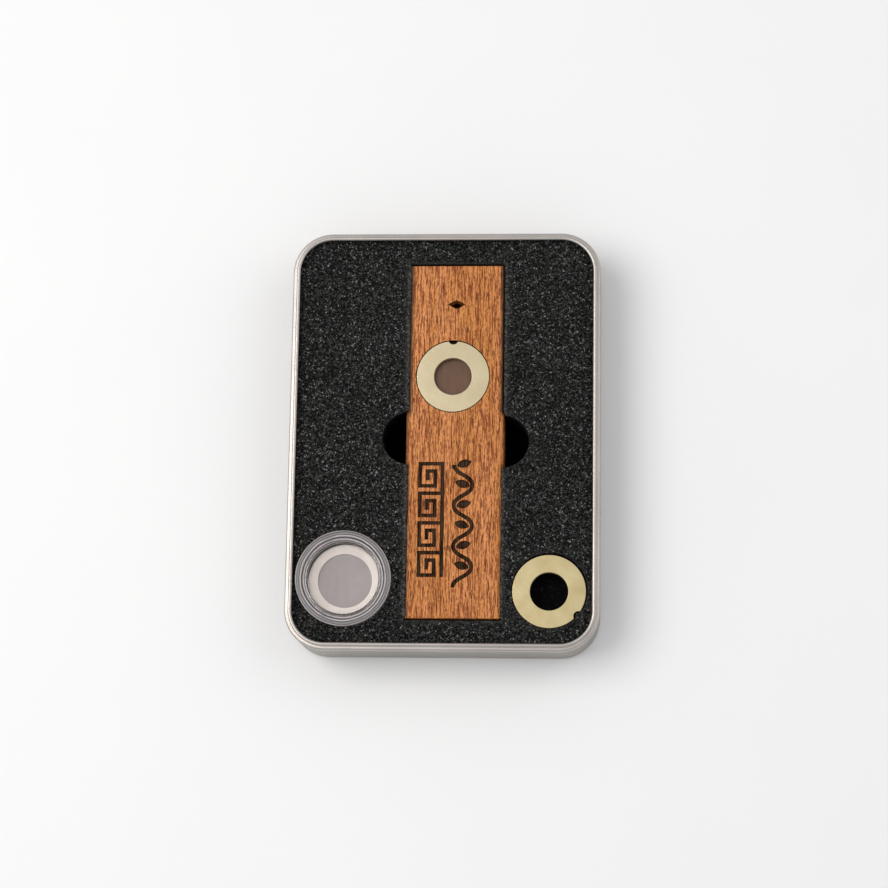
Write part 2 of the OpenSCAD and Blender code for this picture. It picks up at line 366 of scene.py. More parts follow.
woodLook = {
    "light": tone(228, 152, 94),
    "dark": tone(210, 138, 72),
    "streak": tone(128, 60, 22),
    "pore": tone(92, 40, 12),
    "layers": [("Fibre", 0.85, "streak"), ("Flecks", 0.36, "streak"), ("Pores", 0.85, "pore")],
    "poreLimit": 0.58,
    # Painted shade: the rounded faces turned to the left are darkened towards this tone
    "edge": tone(86, 50, 24),
    "leftShadeShare": 0.6,
    # Painted contact shadow of the foam along the kazoo's long edges
    "foamShadow": tone(30, 14, 4),
    "foamShadowLeft": (2.1, 0.95, 0.8),
    "foamShadowRight": (1.6, 0.5, 1.0),
    "foamShadowPastFinger": (6.4, 7.6),
    "foamShadowNearOutlet": 0.35,
    "burnt": tone(66, 48, 33),
    "charred": tone(16, 7, 3),
    "burntPore": tone(30, 17, 9),
    "burntPoreLimit": 0.56,
}


# Painted shadow: where the foam presses on the long edges they are darkened as if in its contact shadow,
# but not in the finger slot
def addFoamShadow(tree):
    low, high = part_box("kazoo_upper_half")
    place = objectPlace(tree)
    x = partOf(tree, place, "X")
    sides = []
    for edge, inwards, foamShadow in ((low[0], mm, "foamShadowLeft"), (high[0], -mm, "foamShadowRight")):
        start, end, most = woodLook[foamShadow]
        sides.append(addRange(tree, x, edge + start * inwards, edge + end * inwards, 0.0, most))
    share = addMath(tree, "MAXIMUM", *sides)
    along = addMath(tree, "SUBTRACT", partOf(tree, place, "Y"), middleOf("foam_face").y)
    start, end = woodLook["foamShadowPastFinger"]
    pastFinger = addRange(tree, addMath(tree, "ABSOLUTE", along), start * mm, end * mm)
    nearOutlet = addRange(tree, along, -mm, mm, woodLook["foamShadowNearOutlet"], 1.0)
    return addProduct(tree, addProduct(tree, share, pastFinger), nearOutlet)


def makeWood():
    material, tree, surface = newMaterial("oiledWood", 0.5, Specular_IOR_Level=0.18)
    grain = useGroup(tree, grainGroup, {"Pores": woodLook["poreLimit"]})
    marks = addMarks(tree, 14)
    colour = addBlend(tree, grain["Bands"], woodLook["light"], woodLook["dark"])
    for layer, share, stain in woodLook["layers"]:
        colour = addBlend(tree, addProduct(tree, grain[layer], share), colour, woodLook[stain])
    # Painted shade on the left-facing rounded edges, as if lit from the right
    leftShade = addRange(tree, facing(tree, "X"), -0.1, -0.6, 0.0, woodLook["leftShadeShare"])
    colour = addBlend(tree, leftShade, colour, woodLook["edge"])
    colour = addBlend(tree, addFoamShadow(tree), colour, woodLook["foamShadow"])
    setInput(tree, surface, "Base Color", colour)
    setInput(tree, surface, "Roughness", addRange(tree, marks["Patches"], 0.0, 1.0, 0.42, 0.56))
    depth = addMath(tree, "SUBTRACT", addProduct(tree, grain["Fibre"], -0.35), grain["Pores"])
    addBump(tree, surface, depth, 0.6, 0.12 * mm)
    return material


# What the laser burnt: charred on its slopes, ashy brown along its bottom
def makeBurntWood():
    material, tree, surface = newMaterial("burntWood", 0.85, Specular_IOR_Level=0.08)
    grain = useGroup(tree, grainGroup, {"Pores": woodLook["burntPoreLimit"]})
    bottom = addBlend(tree, grain["Fibre"], woodLook["burnt"], woodLook["burntPore"])
    level = addRange(tree, addMath(tree, "ABSOLUTE", facing(tree, "Z")), 0.86, 0.97)
    setInput(tree, surface, "Base Color", addBlend(tree, level, woodLook["charred"], bottom))
    addBump(tree, surface, grain["Fibre"], 0.5, 0.1 * mm)
    return material


# Open-cell foam, dark grey with pale specks where cell walls catch the light
foamLook = {
    "pit": tone(5, 5, 5),
    "body": tone(22, 22, 21),
    "crest": tone(63, 63, 63),
    "warm": tone(63, 63, 58),
    "speck": tone(150, 150, 152),
    # Painted highlight on the lip that laps over the kazoo
    "lip": tone(92, 88, 79),
    # Painted light on the slot wall open at the mouth end
    "litSlotWall": tone(70, 67, 58),
    "slotWallShare": 0.4,
    # Painted shade: below the face the slots and pockets darken nearly to black
    "slotShade": (tone(3, 3, 3), tone(12, 12, 13)),
    "wellShade": (tone(8, 9, 9), tone(58, 62, 68)),
    "cellSize": 0.34 * mm,
    "paintedShadeBelow": 15.3 * mm,
    "slotWallTop": 12.3 * mm,
    "wellAbove": 7 * mm,
}


def makeCharcoal():
    material, tree, surface = newMaterial("charcoalFoam", 0.95, Specular_IOR_Level=0.1)
    place = objectPlace(tree)
    scale = 1 / foamLook["cellSize"]
    cells = addNode(tree, "ShaderNodeTexVoronoi", {"Vector": place, "Scale": scale}).outputs
    clumps = addNoise(tree, place, scale * 0.3, 2.0)["Fac"]
    grit = addNoise(tree, place, scale * 1.8, 1.0)["Fac"]
    grey = addNode(tree, "ShaderNodeSeparateColor", {0: cells["Color"]}).outputs[0]
    grey = addMath(tree, "ADD", grey, addRange(tree, clumps, 0.3, 0.7, -0.12, 0.12))
    grey = addMath(tree, "ADD", grey, addRange(tree, grit, 0.3, 0.7, -0.15, 0.15))
    crest = addBlend(tree, addRange(tree, clumps, 0.45, 0.6), foamLook["crest"], foamLook["warm"])
    colour = addBlend(tree, addRange(tree, grey, 0.05, 0.4), foamLook["pit"], foamLook["body"])
    colour = addBlend(tree, addRange(tree, grey, 0.5, 0.95), colour, crest)
    specks = addRange(tree, grey, 0.98, 1.12)
    colour = addBlend(tree, specks, colour, foamLook["speck"])
    # Cut edges: lighter fuzz, partly the cut cells and partly a painted highlight; the lapping lip gets
    # a painted highlight
    rim = fromMesh(tree, "cutRimHighlight")
    fuzzAndHighlight = addProduct(tree, addRange(tree, rim, 0.0, 1.0), addRange(tree, grit, 0.35, 0.65))
    colour = addBlend(tree, addProduct(tree, fuzzAndHighlight, 0.5), colour, foamLook["crest"])
    lip = addProduct(tree, addRange(tree, rim, 0.9, 1.5), addRange(tree, grey, 0.2, 0.9, 0.0, 0.8))
    colour = addBlend(tree, lip, colour, foamLook["lip"])
    # Painted shade deep in the slots and pockets, lifted on the open wall at the mouth end
    height = partOf(tree, place, "Z")
    shadeTop, wallTop, well = foamLook["paintedShadeBelow"], foamLook["slotWallTop"], foamLook["wellAbove"]
    deepShade = addRange(tree, height, shadeTop + 0.4 * mm, shadeTop)
    upper = addRange(tree, height, wallTop - 1.5 * mm, wallTop)
    lit = addProduct(tree, fromMesh(tree, "openWall"), upper)
    deepShade = addMath(tree, "SUBTRACT", deepShade, addProduct(tree, lit, deepShade))
    inSlot, inWell = (addBlend(tree, specks, *foamLook[name]) for name in ("slotShade", "wellShade"))
    shade = addBlend(tree, addRange(tree, height, well, well + mm), inSlot, inWell)
    colour = addBlend(tree, deepShade, colour, shade)
    # Painted light: the open wall at the mouth end is lightened
    litShare = addProduct(tree, lit, foamLook["slotWallShare"])
    colour = addBlend(tree, litShare, colour, foamLook["litSlotWall"])
    setInput(tree, surface, "Base Color", colour)
    relief = addMath(tree, "ADD", cells["Distance"], addProduct(tree, grit, 0.5))
    addBump(tree, surface, relief, 0.6, 0.3 * mm)
    return material


# Tinplate, with the walls below the rim darkened by painted shade and painted dark reflection
tinLook = {
    "light": tone(200, 193, 187),
    "dark": tone(186, 179, 173),
    "speck": tone(168, 161, 154),
    # Painted shade and dark reflection of the walls below the rim
    "wall": tone(120, 116, 108),
    "wallShadeBelow": 16.8 * mm,
    "wallShadeShare": 0.6,
}


def makeTin():
    material, tree, surface = newMaterial("satinTinplate", 0.4, Metallic=1.0)
    marks = addMarks(tree, 11, 0.35)
    colour = addWear(tree, marks, tinLook["light"], tinLook["dark"], 0.25, tinLook["speck"])
    height, below = partOf(tree, objectPlace(tree), "Z"), tinLook["wallShadeBelow"]
    wallShade = addRange(tree, height, below, below - 2 * mm, 0.0, tinLook["wallShadeShare"])
    setInput(tree, surface, "Base Color", addBlend(tree, wallShade, colour, tinLook["wall"]))
    setInput(tree, surface, "Roughness", addRange(tree, marks["Specks"], 0.0, 1.0, 0.35, 0.47))
    addBump(tree, surface, marks["Specks"], 0.25, 0.03 * mm)
    return material


def makeBrass(name, light, dark):
    material, tree, surface = newMaterial(name, 0.42, Metallic=0.75)
    marks = addMarks(tree, 5, 0.4)
    setInput(tree, surface, "Base Color", addWear(tree, marks, light, dark, 0.35, dark))
    setInput(tree, surface, "Roughness", addRange(tree, marks["Specks"], 0.0, 1.0, 0.36, 0.5))
    addBump(tree, surface, marks["Specks"], 0.3, 0.03 * mm)
    return material


def makePaper(name, light, dark):
    material, tree, surface = newMaterial(name, 0.85)
    marks = addMarks(tree, 3, 0.25)
    setInput(tree, surface, "Base Color", addWear(tree, marks, light, dark, 0.25, dark))
    addBump(tree, surface, marks["Specks"], 0.3, 0.04 * mm)
    return material


# Thin milky film, with the faint streaks of its rolling
def makeFilm(name, light, dark):
    material, tree, surface = newMaterial(name, 0.38)
    place = objectPlace(tree, (1 / (1.6 * mm), 1 / (9 * mm), 1 / (1.6 * mm)))
    streaks = addNoise(tree, place, 1.0, 2.0)["Fac"]
    marks = addMarks(tree, 6)
    slow = addRange(tree, marks["Patches"], 0.0, 1.0, 0.5, 1.0)
    share = addProduct(tree, addRange(tree, streaks, 0.3, 0.7), slow)
    setInput(tree, surface, "Base Color", addBlend(tree, share, light, dark))
    setInput(tree, surface, "Roughness", addRange(tree, marks["Patches"], 0.0, 1.0, 0.3, 0.45))
    addBump(tree, surface, streaks, 0.2, 0.05 * mm)
    return material


# Walls of the capsule: light caught in the clear plastic greys it in rings, each a radius and a grey
wallLook = {
    "rings": [(10.4, 150), (10.7, 230), (11.0, 90), (11.22, 90), (11.5, 255), (11.8, 66), (12.2, 190),
              (12.6, 76), (12.95, 255)],
    "ringWobble": 0.08,
    "patch": tone(140, 135, 137),
    "patchShare": 0.8,
    "side": (tone(176, 171, 173), tone(166, 161, 163)),
}


def makeWallPlastic():
    material, tree, surface = newMaterial("wallPlastic", 0.08, IOR=1.5, Transmission_Weight=0.35)
    middle = middleOf("capsule_lid")
    away = addVectorMath(tree, "SUBTRACT", objectPlace(tree), (middle.x, middle.y, 0))[0]
    flat = addVectorMath(tree, "MULTIPLY", away, (1, 1, 0))[0]
    radius = addVectorMath(tree, "LENGTH", flat, (0, 0, 0))["Value"]
    marks = addMarks(tree, 5, 0.6)
    wobble = wallLook["ringWobble"] * mm
    radius = addMath(tree, "ADD", radius, addRange(tree, marks["Patches"], 0.0, 1.0, -wobble, wobble))
    first, last = wallLook["rings"][0][0] * mm, wallLook["rings"][-1][0] * mm
    ramp = addNode(tree, "ShaderNodeValToRGB", {"Fac": addRange(tree, radius, first, last)})
    steps = ramp.color_ramp.elements
    for index, (ringRadius, grey) in enumerate(wallLook["rings"]):
        spot = (ringRadius * mm - first) / (last - first)
        step = steps[index] if index < 2 else steps.new(spot)
        step.position = spot
        step.color = tone(grey, grey * 0.97, grey * 0.97)
    # The patches break up the painted rings of light
    patches = addProduct(tree, addRange(tree, marks["Patches"], 0.45, 1.0), wallLook["patchShare"])
    colour = addBlend(tree, patches, ramp.outputs["Color"], wallLook["patch"])
    upright = addRange(tree, addMath(tree, "ABSOLUTE", facing(tree, "Z")), 0.5, 0.2)
    side = addBlend(tree, marks["Patches"], *wallLook["side"])
    setInput(tree, surface, "Base Color", addBlend(tree, upright, colour, side))
    addBump(tree, surface, marks["Specks"], 0.15, 0.04 * mm)
    passLamps(tree, surface, 0.9)
    return material


# Lets the lamps through to what lies behind clear plastic
def passLamps(tree, surface, share):
    clear = addNode(tree, "ShaderNodeBsdfTransparent", {"Color": (share, share, share, 1)})
    lamps = addNode(tree, "ShaderNodeLightPath", {}).outputs["Is Shadow Ray"]
    mix = addNode(tree, "ShaderNodeMixShader", {0: lamps, 1: surface.outputs[0], 2: clear.outputs[0]})
    setInput(tree, tree.nodes["Material Output"], "Surface", mix.outputs[0])


def makeClearPlastic(name, tint):
    material, tree, surface = newMaterial(name, 0.03, IOR=1.5, Transmission_Weight=1.0)
    marks = addMarks(tree, 7, 0.8)
    paler = tuple(min(1.0, part * 1.05) for part in tint)
    setInput(tree, surface, "Base Color", addBlend(tree, marks["Patches"], tint, paler))
    setInput(tree, surface, "Roughness", addRange(tree, marks["Patches"], 0.3, 1.0, 0.02, 0.07))
    addBump(tree, surface, marks["Specks"], 0.08, 0.02 * mm)
    passLamps(tree, surface, 0.97)
    return material


oiledWood = makeWood()
burntWood = makeBurntWood()
charcoalFoam = makeCharcoal()
satinTin = makeTin()
paleBrass = makeBrass("paleBrass", tone(207, 193, 161), tone(197, 182, 148))
spareBrass = makeBrass("spareBrass", tone(210, 195, 152), tone(192, 174, 128))
paperRim = makePaper("paperRim", tone(232, 222, 213), tone(222, 212, 203))
# The kazoo's own paper rim shows only in the deep notch of the clamp ring, so it is painted dark as
# painted shade
shadedPaperRim = makePaper("paperRimInPaintedShade", tone(58, 44, 32), tone(40, 30, 22))
spareFilmLook = makeFilm("milkyFilm", tone(147, 138, 134), tone(138, 129, 126))
kazooFilmLook = makeFilm("filmOverDarkChannel", tone(106, 74, 52), tone(88, 60, 43))
lidPlastic = makeClearPlastic("clearLid", (0.93, 0.93, 0.95, 1))
cupPlastic = makeClearPlastic("clearCup", (0.93, 0.93, 0.95, 1))
# Dark tint for the plastic round the papers: painted shade of the gap there
shadeTintedPlastic = makeClearPlastic("shadeTintedPlastic", (0.3, 0.25, 0.22, 1))
wallPlastic = makeWallPlastic()
print("made the materials")


def paint(piece, *materials):
    piece.data.materials.clear()
    for material in materials:
        piece.data.materials.append(material)


# Tin tray: one section, spun round each corner and drawn along each wall

tray = {
    "cornerRadius": 11.0,
    "sheet": 0.3,
    "baseBend": 1.5,
    "shoulderBend": 0.6,
    "shoulderBelowRim": 0.8,
    "beadRadius": 0.55,
    "beadTurn": (255, -22),
    "neckStep": 0.12,
    "rimWidth": 2.1,
    "floorEdge": 0.6,
    "cornerSteps": 28,
}


def makeTray():
    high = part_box("tin_tray")[1]
    radius, sheet, base = tray["cornerRadius"], tray["sheet"], tray["baseBend"]
    bend, bead = tray["shoulderBend"], tray["beadRadius"]
    top = high[2] / mm
    shoulder = top - tray["shoulderBelowRim"]
    beadU = radius - tray["rimWidth"] + bead
    beadZ = top - bead
    foot = radius - base
    outline = [(foot - tray["floorEdge"], sheet)]
    outline += arc((foot, base), base - sheet, -90, 0, 8)
    outline += arc((radius - bend, shoulder - bend), bend - sheet, 0, 90, 5)
    outline += arc((beadU, beadZ), bead, *tray["beadTurn"], 30)
    outline += [(radius - bend - tray["neckStep"], shoulder)]
    outline += arc((radius - bend, shoulder - bend), bend, 90, 0, 8)
    outline += arc((foot, base), base, 0, -90, 10)
    outline += [(foot - tray["floorEdge"], 0.0)]
    cornerX = high[0] - radius * mm
    cornerY = high[1] - radius * mm
    piece = drawSection("tinTray", [(cornerX + u * mm, cornerY, z * mm) for u, z in outline])
    editOnly(piece)
    for signX, signY, step in ((1, 1, (-2 * cornerX, 0, 0)), (-1, 1, (0, -2 * cornerY, 0)),
                               (-1, -1, (2 * cornerX, 0, 0)), (1, -1, (0, 2 * cornerY, 0))):
        centre = (signX * cornerX, signY * cornerY, 0)
        bpy.ops.mesh.spin(steps=tray["cornerSteps"], angle=-math.pi / 2, center=centre, axis=(0, 0, 1))
        extrudeBy(step)
    weld(0.002 * mm)
    bpy.ops.mesh.fill_holes(sides=0)
    leaveFacingOut()
    smoothPiece(piece, 40)
    paint(piece, satinTin)
    finishPiece(piece, "tin", "tin_tray", "tin_tray")


# Kazoo body: a whole block, sawn into its two halves and then worked on

kazoo = {
    "longEdge": 1.5,
    "uprightEdge": 0.8,
    "endEdge": 0.22,
    "channel": (16, 7, 2.5),
    "outlet": (7, 8),
    "barPast": 5.0,
    "channelPast": 3.0,
    "borePast": (4, 2),
    "seat": 20.3,
    "chimney": 13.0,
    "seatDepth": 1.95,
    "vent": (4.0, 2.1, 11.0),
    "burntLip": 0.3,
    "burntLipSpread": 1.16,
}


# A rounded bar along Y, its ends at firstY and lastY
def addBar(name, middle, width, height, radius, firstY, lastY, segments=8):
    half = Vector((width, 0, height)) * mm / 2
    bar = addBlock(name, (middle[0] - half.x, firstY, middle[2] - half.z),
                   (middle[0] + half.x, lastY, middle[2] + half.z))
    bevelWhere(bar, lambda a, b: abs(a.y - b.y) > 2 * mm, radius * mm, segments)
    return bar


def makeKazooBlock():
    low, high = Vector(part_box("kazoo_lower_half")[0]), Vector(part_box("kazoo_upper_half")[1])
    middle = (low + high) / 2
    size = (high - low) / mm
    block = addBlock("kazooBlock", low, high)
    bevelWhere(block, isUpright, kazoo["uprightEdge"] * mm, 5)
    bevelWhere(block, lambda a, b: abs(a.z - b.z) < 0.1 * mm, kazoo["endEdge"] * mm, 3)
    past = kazoo["barPast"] * mm
    bar = addBar("roundedBar", middle, size.x, size.z, kazoo["longEdge"],
                 low.y - past, high.y + past, 10)
    carve(block, bar, operation="INTERSECT")
    width, height, radius = kazoo["channel"]
    bore, boreLength = kazoo["outlet"]
    channel = addBar("windChannel", middle, width, height, radius,
                     low.y + boreLength * mm, high.y + kazoo["channelPast"] * mm)
    outwards, inwards = kazoo["borePast"]
    boreY = low.y + (boreLength + inwards - outwards) * mm / 2
    deselectAll()
    bpy.ops.mesh.primitive_cylinder_add(vertices=64, radius=bore * mm / 2,
                                        depth=(boreLength + inwards + outwards) * mm,
                                        location=(middle.x, boreY, middle.z),
                                        rotation=(math.pi / 2, 0, 0))
    carve(block, channel, settle(bpy.context.object, "outletBore"))
    return block, middle


def sawHalf(block, name, middle, keepTop):
    half = copyPiece(block, name)
    editOnly(half)
    bpy.ops.mesh.bisect(plane_co=middle, plane_no=(0, 0, 1), use_fill=True,
                        clear_inner=keepTop, clear_outer=not keepTop)
    leaveFacingOut()
    return half


# The burnt ornament: a key pattern and a leafy vine
ornament = {
    "keyPattern": ["#######.", "#.....#.", "#.###.#.", "#.#...#.", "#.#####.", "#.......", "########"],
    "keyEdge": 0.12,
    "keyRepeats": 4,
    "keyCell": 1.02,
    "keyHeight": 1.2,
    "keyStart": (-9.75, -6.2),
    "vineMiddle": 2.5,
    "vineStart": -7.0,
    "vineWave": 2.5,
    "vineStep": 5.6,
    "vineWaves": 6,
    "leafSize": (4.4, 2.3),
    "leafTurn": 74,
    "leafPlace": (0.2, 0.35, 0.03),
    "stroke": 1.15,
    "strokeLift": 0.04,
    "depth": 0.3,
}


def addKeyCutter(middle, topZ):
    rows = ornament["keyPattern"]
    wide, period = len(rows), len(rows[0])
    long = period * ornament["keyRepeats"] - 1
    cell, height = ornament["keyCell"] * mm, ornament["keyHeight"] * mm
    startX = middle.x + ornament["keyStart"][0] * mm
    startY = middle.y + ornament["keyStart"][1] * mm
    deselectAll()
    place = (startX + wide * cell / 2, startY - long * cell / 2, topZ - ornament["depth"] * mm)
    bpy.ops.mesh.primitive_grid_add(x_subdivisions=wide, y_subdivisions=long, size=1, location=place)
    cutter = bpy.context.object
    cutter.scale = (wide * cell, long * cell, 1)
    cutter = settle(cutter, "keyPattern")
    editOnly(cutter, "FACE", "DESELECT")
    leaveEdit()
    for face in cutter.data.polygons:
        across = int((face.center.x - startX) / cell)
        along = int((startY - face.center.y) / cell)
        face.select = rows[across][along % period] == "."
    bpy.ops.object.mode_set(mode="EDIT")
    bpy.ops.mesh.delete(type="FACE")
    bpy.ops.mesh.select_all(action="SELECT")
    extrudeBy((0, 0, height))
    bpy.ops.mesh.select_all(action="SELECT")
    bpy.ops.mesh.dissolve_limited(angle_limit=math.radians(2))
    leaveFacingOut()
    bevelWhere(cutter, isUpright, ornament["keyEdge"] * mm, 2)
    return cutter


# The vine turns on one side and then the other
def vineTurn(middle, index):
    y = middle.y + (ornament["vineStart"] - index * ornament["vineStep"]) * mm
    return y, 1 if index % 2 else -1


def addVineCutter(middle, topZ):
    deselectAll()
    bpy.ops.curve.primitive_bezier_curve_add(location=(0, 0, 0))
    stem = bpy.context.object
    spline = stem.data.splines[0]
    spline.bezier_points.add(ornament["vineWaves"] - 1)
    reach = ornament["vineStep"] * 0.5 * mm
    for index, point in enumerate(spline.bezier_points):
        y, side = vineTurn(middle, index)
        x = middle.x + (ornament["vineMiddle"] + side * ornament["vineWave"]) * mm
        point.co = (x, y, 0)
        point.handle_left_type = point.handle_right_type = "FREE"
        point.handle_left = (x, y + reach, 0)
        point.handle_right = (x, y - reach, 0)
    stem.data.dimensions = "3D"
    stem.data.resolution_u = 12
    stem.data.bevel_depth = ornament["stroke"] * mm / 2
    stem.data.bevel_resolution = 3
    stem.data.use_fill_caps = True
    pickOnly(stem)
    bpy.ops.object.convert(target="MESH")
    stem = bpy.context.object
    stem.scale.z = 2 * ornament["depth"] / ornament["stroke"]
    stem.location.z = topZ + ornament["strokeLift"] * mm
    return settle(stem, "vineStem")


# A pointed leaf, hollowed like the cut of a gouge
def addLeafCutter(place, turn):
    length, width = ornament["leafSize"]
    deselectAll()
    bpy.ops.mesh.primitive_uv_sphere_add(segments=24, ring_count=14, radius=0.5, location=(0, 0, 0),
                                         rotation=(math.pi / 2, 0, 0))
    leaf = settle(bpy.context.object, "leaf")
    for spot in leaf.data.vertices:
        slim = math.sqrt(max(0.0, 1 - 4 * spot.co.y ** 2))
        spot.co.x *= slim
        spot.co.z *= slim
    leaf.scale = (width * mm, length * mm, 2 * ornament["depth"] * mm)
    leaf.rotation_euler.z = math.radians(turn)
    leaf.location = place
    return settle(leaf, "leaf")


def makeOrnamentCutters(middle, topZ):
    keys, vine = addKeyCutter(middle, topZ), [addVineCutter(middle, topZ)]
    centreX = middle.x + ornament["vineMiddle"] * mm
    inwards, along, lift = (v * mm for v in ornament["leafPlace"])
    for index in range(ornament["vineWaves"]):
        y, side = vineTurn(middle, index)
        place = (centreX - side * inwards, y + along, topZ + lift)
        vine.append(addLeafCutter(place, side * ornament["leafTurn"]))
    vine = joinPieces(vine, "leafyVine")
    for cutter in (keys, vine):
        paint(cutter, burntWood)
    return keys, vine


def addVentCutter(middle, topZ, endY):
    length, width, inset = kazoo["vent"]
    arcRadius = (length * length + width * width) / (4 * width)
    half = math.degrees(math.asin(length / 2 / arcRadius))
    upper = arc((0, width / 2 - arcRadius), arcRadius, 90 - half, 90 + half, 14)
    lower = arc((0, arcRadius - width / 2), arcRadius, 270 - half, 270 + half, 14)
    centre = Vector((middle.x, endY - inset * mm, 0))
    rings = []
    for x, y in upper[:-1] + lower[:-1]:
        straight = math.copysign(width / 2 * (1 - abs(x) / (length / 2)), y)
        rings.append((x, (y + 2 * straight) / 3))
    startZ, lip = middle.z + mm, kazoo["burntLip"] * mm
    cutter = drawLoop("ventCutter", [centre + Vector((x * mm, y * mm, startZ)) for x, y in rings])
    bpy.ops.mesh.edge_face_add()
    extrudeBy((0, 0, topZ - lip - startZ))
    for lift, grow in ((lip, kazoo["burntLipSpread"]), (2 * mm, 1.0)):
        extrudeBy((0, 0, lift))
        bpy.ops.transform.resize(value=(grow, grow, 1), center_override=(centre.x, centre.y, topZ))
    leaveFacingOut()
    paint(cutter, burntWood, oiledWood)
    for face in cutter.data.polygons:
        face.material_index = int(face.center.z < topZ - lip)
    return cutter


def makeKazoo():
    block, middle = makeKazooBlock()
    paint(block, oiledWood)
    lowerHalf = sawHalf(block, "kazooLowerHalf", middle, False)
    upperHalf = sawHalf(block, "kazooUpperHalf", middle, True)
    bpy.data.objects.remove(block)
    endY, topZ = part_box("kazoo_upper_half")[1][1:]
    ring, seatLow = ringCentre("clamp_ring"), topZ - kazoo["seatDepth"] * mm
    chimney = addDrum("chimneyCutter", ring, middle.z, topZ + mm, kazoo["chimney"] * mm / 2)
    seat = addDrum("seatCutter", ring, seatLow, topZ + mm, kazoo["seat"] * mm / 2)
    paint(chimney, oiledWood)
    paint(seat, burntWood)
    vent = addVentCutter(middle, topZ, endY)
    carve(upperHalf, chimney, seat, vent)
    keys, vine = makeOrnamentCutters(middle, topZ)
    carve(upperHalf, keys)
    carve(upperHalf, vine, use_self=True)  # its leaves overlap its stem
    for half, node in ((lowerHalf, "kazoo_lower_half"), (upperHalf, "kazoo_upper_half")):
        smoothPiece(half, 25)
        finishPiece(half, "kazoo", node, node)


# Clamp rings: a soft-edged flat ring, with the notch that a nail lifts it by

rings = {
    "outer": 9.95,
    "hole": 5.15,
    "edge": 0.16,
    "notchRadius": 1.4,
    "notchDepth": 1.0,
    "notchTurn": {"clamp_ring": 90, "spare_ring": -40},
}


def makeRing(name, node, material):
    low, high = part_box(node)
    bottom, top = low[2] / mm, high[2] / mm
    inner, outer, edge = rings["hole"], rings["outer"], rings["edge"]
    outline = arc((outer - edge, bottom + edge), edge, -90, 0, 3)
    outline += arc((outer - edge, top - edge), edge, 0, 90, 3)
    outline += arc((inner + edge, top - edge), edge, 90, 180, 3)
    outline += arc((inner + edge, bottom + edge), edge, 180, 270, 3)
    turn = math.radians(rings["notchTurn"][node])
    centre = ringCentre(node)
    ring = turnPiece(name, outline, centre, 160)
    reach = (outer - rings["notchDepth"] + rings["notchRadius"]) * mm
    place = (centre[0] + reach * math.cos(turn), centre[1] + reach * math.sin(turn))
    notch = addDrum("notchCutter", place, low[2] - mm, high[2] + mm, rings["notchRadius"] * mm, 48)
    paint(ring, material)
    paint(notch, material)
    carve(ring, notch)
    smoothPiece(ring, 35)
    finishPiece(ring, node, node, node)


# The notch takes a little off a ring's box, so the middle is measured from the sides without it
def ringCentre(node):
    low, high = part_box(node)
    if node == "clamp_ring":
        return (low[0] + high[0]) / 2, low[1] + rings["outer"] * mm
    return low[0] + rings["outer"] * mm, high[1] - rings["outer"] * mm


# Capsule: a turned cup and its lid, both clear

capsule = {
    "cupWall": (11.6, 10.4),
    "floor": 1.2,
    "footHollow": (9.2, 0.3),
    "footEdge": (0.1, 0.05),
    "heel": 0.5,
    "softEdge": 0.25,
    "smallEdge": 0.2,
    "lidRadius": 13.0,
    "lidTop": 1.0,
    "lidEdge": 0.5,
    "skirt": (11.7, 1.15),
    "plug": (10.3, 9.85, 2.0),
    "fillet": 0.3,
    "grooves": (11.45, 12.3),
    "groove": (0.36, 0.14),
    "wallFrom": 11.25,
}


# Clear in the middle, tinted dark round the papers as painted shade, and wall further out
def paintWalls(piece, clear, middle, shadeFrom, shadeTo, wall):
    paint(piece, clear, shadeTintedPlastic, wallPlastic)
    for face in piece.data.polygons:
        away = math.hypot(face.center.x - middle.x, face.center.y - middle.y) / mm
        face.material_index = 2 if away > wall else 1 if shadeFrom < away < shadeTo else 0


def makeCup():
    low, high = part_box("capsule_cup")
    bottom, top = low[2] / mm, high[2] / mm
    outer, inner = capsule["cupWall"]
    soft, fillet = capsule["softEdge"], capsule["fillet"]
    footRadius, footDepth = capsule["footHollow"]
    floorTop = bottom + capsule["floor"]
    aside, rise = capsule["footEdge"]
    outline = [(0, bottom + footDepth), (footRadius - aside, bottom + footDepth)]
    outline += [(footRadius, bottom + rise), (footRadius + aside, bottom)]
    outline += arc((outer - capsule["heel"], bottom + capsule["heel"]), capsule["heel"], -90, 0, 5)
    outline += arc((outer - soft, top - soft), soft, 0, 90, 4)
    outline += arc((inner + soft, top - soft), soft, 90, 180, 4)
    outline += arc((inner - fillet, floorTop + fillet), fillet, 0, -90, 5)
    outline += [(0, floorTop)]
    middle = middleOf("capsule_cup")
    cup = turnPiece("capsuleCup", outline, middle[:2])
    smoothPiece(cup, 40)
    paintWalls(cup, cupPlastic, middle, inner - fillet, inner + 0.1, inner + 0.1)
    finishPiece(cup, "capsule", "capsule_cup", "capsule_cup")


